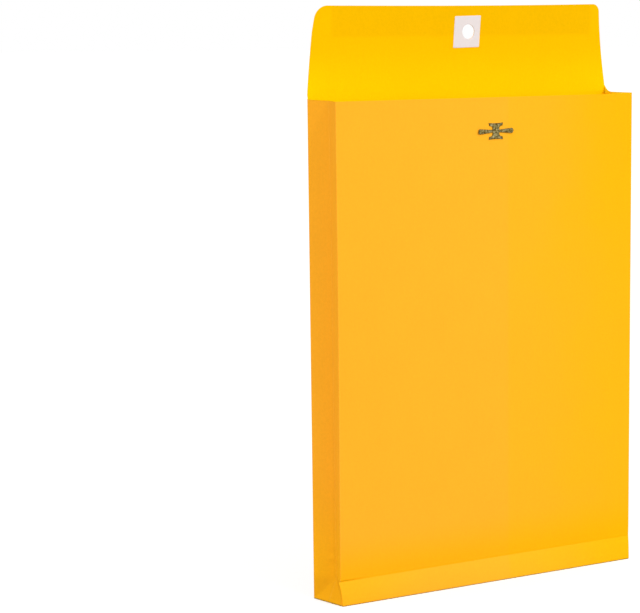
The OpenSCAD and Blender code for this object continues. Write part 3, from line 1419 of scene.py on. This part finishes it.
        reach = self.hole_block + 1e-6
        beside = shares * self.width - (self.width - self.hole_along)
        rows = np.flatnonzero(np.abs(up - self.hole_height) <= reach)
        columns = np.flatnonzero(np.abs(beside) <= reach)
        keep = np.ones((len(up) - 1, len(shares) - 1), bool)
        keep[rows[0] : rows[-1], columns[0] : columns[-1]] = False
        sheet.add_grid(flap, keep=keep)

        loop = around(rows, columns)
        outer_a, outer_u = along[loop], up[loop[0]]
        angle = np.arctan2(outer_u - self.hole_height, outer_a - self.hole_along)
        circle_a = self.hole_along + self.hole_radius * np.cos(angle)
        circle_u = self.hole_height + self.hole_radius * np.sin(angle)
        towards = np.array(self.hole_rings)[:, None]
        ring_a = outer_a + (circle_a - outer_a) * towards
        ring_u = outer_u + (circle_u - outer_u) * towards
        rings = sheet.add_points(self.flap_point(ring_a, ring_u))
        sheet.add_grid(np.concatenate([flap[loop][None], rings]), ring=True)

    def make(self, finish: bpy.types.Material) -> bpy.types.Object:
        """Builds the sheet: the body with its bottom, and the flap with its hole.

        Args:
            finish: the paper's material.

        Returns:
            The object.
        """
        sheet = Sheet()
        self.add_flap(sheet, self.add_body(sheet))
        return sheet.solid("folded_sheet", self.paper, finish)


@dataclass
class TurnedUpFlap:
    """The bottom flap, turned up over the front's foot and glued there. Millimetres."""

    body: FoldedSheet
    overhang: float = 1.2
    shortfall: float = 0.6
    gap: float = 0.04
    end_share: float = 0.003
    rise_stops: tuple[float, ...] = (0.0, 0.08, 0.97, 1.0)

    def make(self, finish: bpy.types.Material) -> bpy.types.Object:
        """Builds the flap as a profile carried across the front.

        The profile rounds the bottom edge and follows the front's swelling face to the fold line.
        Towards the top the left end stands out past the side by a square law.

        Args:
            finish: the paper's material.

        Returns:
            The object.
        """
        body = self.body
        share = spaced([0.0, self.end_share, 1 - self.end_share, 1.0], [1, 48, 1])[None, :]
        rise = spaced(self.rise_stops, [3, 18, 1])[:, None]
        z = body.foot_round + (body.fold_height(share) - body.foot_round) * rise
        y = body.front_y(z, share, recessed=False) - body.paper - self.gap
        turn = np.linspace(0, QUARTER_TURN, 6)[:-1, None]
        foot_y = y[:1] + body.foot_round * (1 - np.sin(turn))
        foot_z = body.foot_round * (1 - np.cos(turn)) + 0 * share
        y, z = np.concatenate([foot_y, y]), np.concatenate([foot_z, z])
        left = body.front_edges(z)[0] - self.overhang * (z / body.fold_left) ** 2
        x = left + (body.half_width - self.shortfall - left) * share
        sheet = Sheet()
        sheet.add_grid(sheet.add_points(np.stack([x, y, z], axis=-1)))
        return sheet.solid("turned_up_flap", body.paper, finish)


@dataclass
class CentreSeam:
    """The second layer of paper inside the front, where the tube's edges are glued. Millimetres."""

    body: FoldedSheet
    overlap: float = 19.0
    below_rim: float = 0.1
    close_rows: float = 2.5

    def make(self, finish: bpy.types.Material) -> bpy.types.Object:
        """Builds the strip: the front's profile, one paper's thickness further in.

        Args:
            finish: the paper's material.

        Returns:
            The object, with all of it marked as inside.
        """
        body = self.body
        fold, top = body.fold_right, body.height - body.front_drop - self.below_rim
        z = spaced([body.foot_round, fold, self.close_rows * fold, top], [24, 16, 12])[:, None]
        x = spaced([body.seam_edge, body.seam_edge - self.overlap], [8])[None, :]
        y = body.front_y(z, (x + body.half_width) / body.width) + 2 * body.paper
        sheet = Sheet()
        sheet.add_grid(sheet.add_points(np.stack(np.broadcast_arrays(x, y, z), axis=-1)))
        made = sheet.solid("centre_seam", body.paper, finish)
        made.data.attributes["inner"].data.foreach_set("value", np.ones(len(made.data.vertices)))
        return made


@dataclass
class Patch:
    """The square patch stuck round the flap's hole. Millimetres."""

    body: FoldedSheet
    side: float = 19.8
    corner: float = 0.5
    thickness: float = 0.2
    glue: float = 0.02
    right: float = 3.9
    lean: float = 0.064
    climb: float = 0.02
    points_round: int = 144
    rings: tuple[float, ...] = (0.0, 0.03, 0.15, 0.35, 0.55, 0.75, 0.9, 0.975, 1.0)
    hole_droop: float = 0.03
    edge_droop: float = 0.04

    def outline(self, direction: np.ndarray) -> np.ndarray:
        """The patch's edge, seen from the middle of the hole.

        In each direction it is the point of a smaller square plus a circle of the corner's radius,
        so |x| and |y| stay within half the side. It is then skewed, as it was cut by hand: its
        sides lean and its top and bottom climb to the right.

        Args:
            direction: unit vectors, one row each.

        Returns:
            The edge's points, one row each.
        """
        small = self.side / 2 - self.corner
        square = direction / np.abs(direction).max(axis=-1, keepdims=True) * (self.side / 2)
        inner = np.clip(square, -small, small)
        beyond = square - inner
        length = np.maximum(np.linalg.norm(beyond, axis=-1, keepdims=True), 1e-9)
        edge = inner + beyond / length * np.minimum(length, self.corner)
        skew = np.array([[1.0, self.climb], [self.lean, 1.0]])
        return edge @ skew + np.array([self.right - self.body.hole_right, 0.0])

    def make(self, finish: bpy.types.Material) -> bpy.types.Object:
        """Builds the patch as rings between the hole and its rounded square outline.

        Args:
            finish: the patch's material.

        Returns:
            The object.
        """
        body = self.body
        angle = np.linspace(0, FULL_TURN, self.points_round, endpoint=False)
        direction = np.stack([np.cos(angle), np.sin(angle)], axis=-1)
        circle = direction * body.hole_radius
        share = np.array(self.rings)[:, None, None]
        flat = circle + (self.outline(direction) - circle) * share
        along, up = body.hole_along + flat[..., 0], body.hole_height + flat[..., 1]
        grid = body.flap_point(along, up, out=body.paper + self.thickness)
        grid[0, :, 1] += self.hole_droop
        grid[-1, :, 1] += self.edge_droop
        sheet = Sheet()
        numbers = sheet.add_points(grid)
        sheet.add_grid(numbers[::-1], ring=True)
        return sheet.solid("hole_patch_face", self.thickness - self.glue, finish)


# The clasp


@dataclass
class Clasp:
    """The stamped clasp: a flared plate, its two tabs and two prongs that bend at its stem. Millimetres."""

    right: float = 4.9
    high: float = 282.3
    front: float = -14.3
    tilt: float = 0.010
    metal: float = 0.3
    under: float = 0.02
    edge_wear: float = 0.42

    # The plate: its stem, its flared ends and its crown
    plate_height: float = 10.4
    plate_width: float = 11.0
    serif: float = 1.9
    fillet: float = 1.9
    stem: float = 5.2
    flare: float = 0.35
    plate_crown: float = 0.2
    plate_edge: float = 0.08
    plate_end: float = 0.2
    plate_margin: float = 0.06
    serif_row: float = 0.06
    dip_across: float = 2.5
    dip_along: int = 6
    crown_level: float = 0.55
    crown_swing: float = 0.45
    crown_turn: float = 2.6

    # The tabs
    tab_width: float = 4.0
    tab_length: float = 3.0
    tab_offset: float = 4.0
    tab_play: float = 0.05
    tab_row: float = 0.6
    paper_layers: float = 0.5

    # The prongs
    reach_left: float = 13.8
    reach_right: float = 13.15
    root: float = 1.6
    end: float = 3.15
    end_corner: float = 1.2
    end_lift: float = 0.35
    gap: float = 0.05
    lift: float = 0.1
    prong_crown: float = 0.25
    prong_edge: float = 0.06
    prong_margin: float = 0.1
    prong_settle: float = 2.5
    prong_row: float = 0.3

    def place_grid(self, x: np.ndarray, y: np.ndarray, z: np.ndarray) -> np.ndarray:
        """Moves a grid from the clasp's centre to its place, turned a little: z grows by tilt * x."""
        grid = np.stack(np.broadcast_arrays(x, y, z + self.tilt * x), axis=-1)
        return grid + np.array([self.right, self.front, self.high])

    def half_width(self, z: np.ndarray) -> np.ndarray:
        """Half the plate's width at each height: the stem, its fillet, and the flared end.

        Args:
            z: heights from the plate's centre.

        Returns:
            The half widths.
        """
        away = np.abs(z)
        foot = self.plate_height / 2 - self.serif
        over = np.clip(away - (foot - self.fillet), 0, self.fillet)
        neck = self.stem / 2 + self.fillet - arc(self.fillet, over)
        flared = self.plate_width / 2 - self.flare * (1 - np.clip((away - foot) / self.serif, 0, 1))
        return np.where(away <= foot, neck, flared)

    def wear(self, inside: np.ndarray) -> np.ndarray:
        """How much a point is worn, by its distance from the edge."""
        return np.exp(-inside / self.edge_wear)

    def plate(self, finish: bpy.types.Material) -> bpy.types.Object:
        """Builds the plate: its outline as a half width at each height, slightly crowned.

        The crown falls to the sides as 1 - u^2 and towards the ends as a cosine. The ends dip in
        between their corners as flare * (1 - |u|^power), and the outermost strip rounds down.

        Args:
            finish: the metal's material.

        Returns:
            The object.
        """
        half = self.plate_height / 2
        foot = half - self.serif
        stops = [0, foot - self.fillet, foot, foot + self.serif_row, half - self.plate_end, half]
        rows = spaced(stops, [6, 10, 1, 8, 2])
        rows = np.concatenate([-rows[:0:-1], rows])[:, None]
        margin = self.plate_margin
        u = spaced([-1.0, margin - 1, 1 - margin, 1.0], [2, 20, 2])[None, :]
        dip = self.flare * (1 - np.abs(u) ** self.dip_across) * (np.abs(rows) / half) ** self.dip_along
        wide = self.half_width(rows)
        edge = np.clip((1 - np.abs(u)) / margin, 0, 1)
        edge = edge * np.clip((half - np.abs(rows)) / self.plate_end, 0, 1)
        swing = self.crown_level + self.crown_swing * np.cos(rows / half * self.crown_turn)
        crown = self.plate_crown * (1 - np.abs(u) ** 2) * swing
        y = -crown - self.plate_edge * np.sqrt(edge) - self.metal + self.under
        inside = np.minimum((1 - np.abs(u)) * wide, half - np.abs(rows))
        sheet = Sheet()
        grid = self.place_grid(wide * u, y, rows - np.sign(rows) * dip)
        sheet.add_grid(sheet.add_points(grid, self.wear(inside)))
        return sheet.solid("clasp_plate", self.metal - self.under, finish)

    def tab(self, which: Tab, finish: bpy.types.Material) -> bpy.types.Object:
        """Builds one tab: a strip that goes in through the paper and is bent flat behind it.

        Args:
            which: the upper tab or the lower.
            finish: the metal's material.

        Returns:
            The object.
        """
        deep = self.paper_layers + self.tab_play
        turn = np.linspace(0, QUARTER_TURN, 6)
        bend = self.metal
        y = np.concatenate([[-self.metal / 2], deep - bend + bend * np.sin(turn), [deep, deep]])
        flat = [self.tab_row * self.tab_length, self.tab_length]
        up = np.concatenate([[0.0], bend - bend * np.cos(turn), flat])
        z = which.value * (self.tab_offset + up)
        x = spaced([-1.0, 1.0], [6]) * self.tab_width / 2
        sheet = Sheet()
        numbers = sheet.add_points(self.place_grid(x[None, :], y[:, None], z[:, None]))
        sheet.add_grid(numbers if which is Tab.UPPER else numbers[:, ::-1])
        return sheet.solid(f"clasp_tab_{which.name.lower()}", self.metal, finish)

    def prong(self, hand: Hand, finish: bpy.types.Material) -> bpy.types.Object:
        """Builds one prong: it widens from its bend to a blunt, rounded end, with a soft crown.

        Its end stands off the paper a little more than its root, by the square of the distance.

        Args:
            hand: the side that it points to.
            finish: the metal's material.

        Returns:
            The object.
        """
        bend = self.stem / 2 + self.gap + self.metal / 2
        length = (self.reach_right if hand is Hand.RIGHT else self.reach_left) - bend
        straight = length - self.end_corner
        low = spaced([-self.metal / 2, self.prong_row, straight], [2, 20])
        turn = np.linspace(0, QUARTER_TURN, 8)[1:]
        along = np.concatenate([low, straight + self.end_corner * np.sin(turn)])[:, None]
        half = self.root / 2 + (self.end - self.root) / 2 * np.clip(along / straight, 0, 1)
        over = np.clip(along - straight, 0, self.end_corner)
        half = half - self.end_corner + arc(self.end_corner, over)
        margin = self.prong_margin
        v = spaced([-1.0, margin - 1, 1 - margin, 1.0], [2, 12, 2])[None, :]
        settle = np.clip(along / self.prong_settle, 0, 1)
        edge = np.clip((1 - np.abs(v)) / margin, 0, 1)
        crown = self.prong_crown * (1 - v**2) * settle + self.prong_edge * np.sqrt(edge)
        raised = self.end_lift * np.clip(along / length, 0, 1) ** 2
        y = -self.lift - self.metal - crown - raised + self.prong_edge * (1 - settle)
        inside = np.minimum((1 - np.abs(v)) * half, length - along)
        sheet = Sheet()
        grid = self.place_grid((bend + along) * hand.value, y, half * v)
        numbers = sheet.add_points(grid, self.wear(np.maximum(inside, 0)))
        sheet.add_grid(numbers.T if hand is Hand.RIGHT else numbers.T[::-1])
        return sheet.solid(f"prong_{hand.name.lower()}", self.metal - self.under, finish)


# The studio


@dataclass
class Studio:
    """Camera, lamps, world and floor. Metres and degrees."""

    azimuth: float = -33.777
    elevation: float = 6.428
    roll: float = -0.524
    distance: float = 1.46991
    aim: tuple[float, float, float] = (-0.11723, -0.00032, 0.18079)
    focal_pixels: float = 2456.58
    key_direction: tuple[float, float, float] = (0.123, -0.696, 0.707)
    key_strength: float = 1.34
    key_spread: float = 26.0
    ambient: float = 1.261
    floor_radius: float = 40.0
    floor_sides: int = 96
    floor_height: float = -0.02 * MM

    def camera(self) -> None:
        """Places the camera at the photograph's angle."""
        azimuth, elevation, roll = (math.radians(v) for v in (self.azimuth, self.elevation, self.roll))
        level = math.cos(elevation)
        back = Vector((math.sin(azimuth) * level, -math.cos(azimuth) * level, math.sin(elevation)))
        right = (-back).cross(Vector((0, 0, 1))).normalized()
        up = right.cross(-back)
        turned_right = right * math.cos(roll) + up * math.sin(roll)
        turned_up = -right * math.sin(roll) + up * math.cos(roll)
        data = bpy.data.cameras.new("camera")
        data.sensor_width = SENSOR_WIDTH
        data.lens = self.focal_pixels / IMAGE_WIDTH * SENSOR_WIDTH
        made = bpy.data.objects.new("camera", data)
        axes = Matrix((turned_right, turned_up, back)).transposed().to_4x4()
        made.matrix_world = Matrix.Translation(Vector(self.aim) + back * self.distance) @ axes
        bpy.context.scene.collection.objects.link(made)
        bpy.context.scene.camera = made

    def lamps(self) -> None:
        """Adds one broad, soft lamp above the front."""
        data = bpy.data.lights.new("key", "SUN")
        data.energy = self.key_strength
        data.angle = math.radians(self.key_spread)
        made = bpy.data.objects.new("key", data)
        made.matrix_world = Vector(self.key_direction).to_track_quat("Z", "Y").to_matrix().to_4x4()
        bpy.context.scene.collection.objects.link(made)

    def world(self) -> None:
        """Makes the world white where it is seen or mirrored, with its own level as light."""
        s = Shader(bpy.data.worlds.new("studio"))
        level = s.directly_seen() * (1.0 - self.ambient) + self.ambient
        sky = s.node("ShaderNodeBackground", {}, {"Color": (1.0, 1.0, 1.0, 1.0), "Strength": level})
        s.node("ShaderNodeOutputWorld", {}, {"Surface": s.wire(sky)})
        bpy.context.scene.world = s.owner

    def floor(self) -> None:
        """Lays a wide, pale disc just under the resting face."""
        count = self.floor_sides
        turn = np.linspace(0, FULL_TURN, count, endpoint=False)
        reach = self.floor_radius / MM
        height = np.full(count, self.floor_height / MM)
        ring = np.stack([np.cos(turn) * reach, np.sin(turn) * reach, height], axis=-1)
        mesh = make_mesh("floor", ring, np.arange(count), np.array([count]))
        mesh.materials.append(StudioFinish().make("floor_paint"))
        link("floor", mesh)

    def make(self) -> None:
        """Sets the whole studio up."""
        self.camera()
        self.lamps()
        self.world()
        self.floor()
        bpy.context.scene.view_settings.view_transform = "Standard"


def place(piece: bpy.types.Object, body: Body, slot: Slot, *nodes: str) -> None:
    """Ties a piece to its body, and hides the nodes that it stands for.

    Args:
        piece: the object.
        body: what it rides on.
        slot: not used.
        nodes: the nodes that it replaces.
    """
    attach(piece, body.value)
    if nodes:
        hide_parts(*nodes)
    log.info("%s: %d faces, rides on %s", piece.name, len(piece.data.polygons), body.value)


def main() -> None:
    """Builds the studio, then the paper, the patch and the clasp."""
    Studio().make()
    paper = KraftFinish().make("kraft_paper")
    patch = PatchFinish().make("patch_paper")
    metal = MetalFinish().make("clasp_metal")

    body = FoldedSheet()
    place(body.make(paper), Body.PAPER, Slot.PAPER, "envelope")
    place(TurnedUpFlap(body).make(paper), Body.PAPER, Slot.PAPER)
    place(CentreSeam(body).make(paper), Body.PAPER, Slot.PAPER)
    place(Patch(body).make(patch), Body.PAPER, Slot.PATCH, "hole_patch")

    clasp = Clasp()
    place(clasp.plate(metal), Body.PAPER, Slot.METAL, "clasp_base")
    for which in Tab:
        place(clasp.tab(which, metal), Body.PAPER, Slot.METAL)
    place(clasp.prong(Hand.LEFT, metal), Body.LEFT, Slot.METAL, "left_prong")
    place(clasp.prong(Hand.RIGHT, metal), Body.RIGHT, Slot.METAL, "right_prong")


if __name__ == "__main__":
    main()
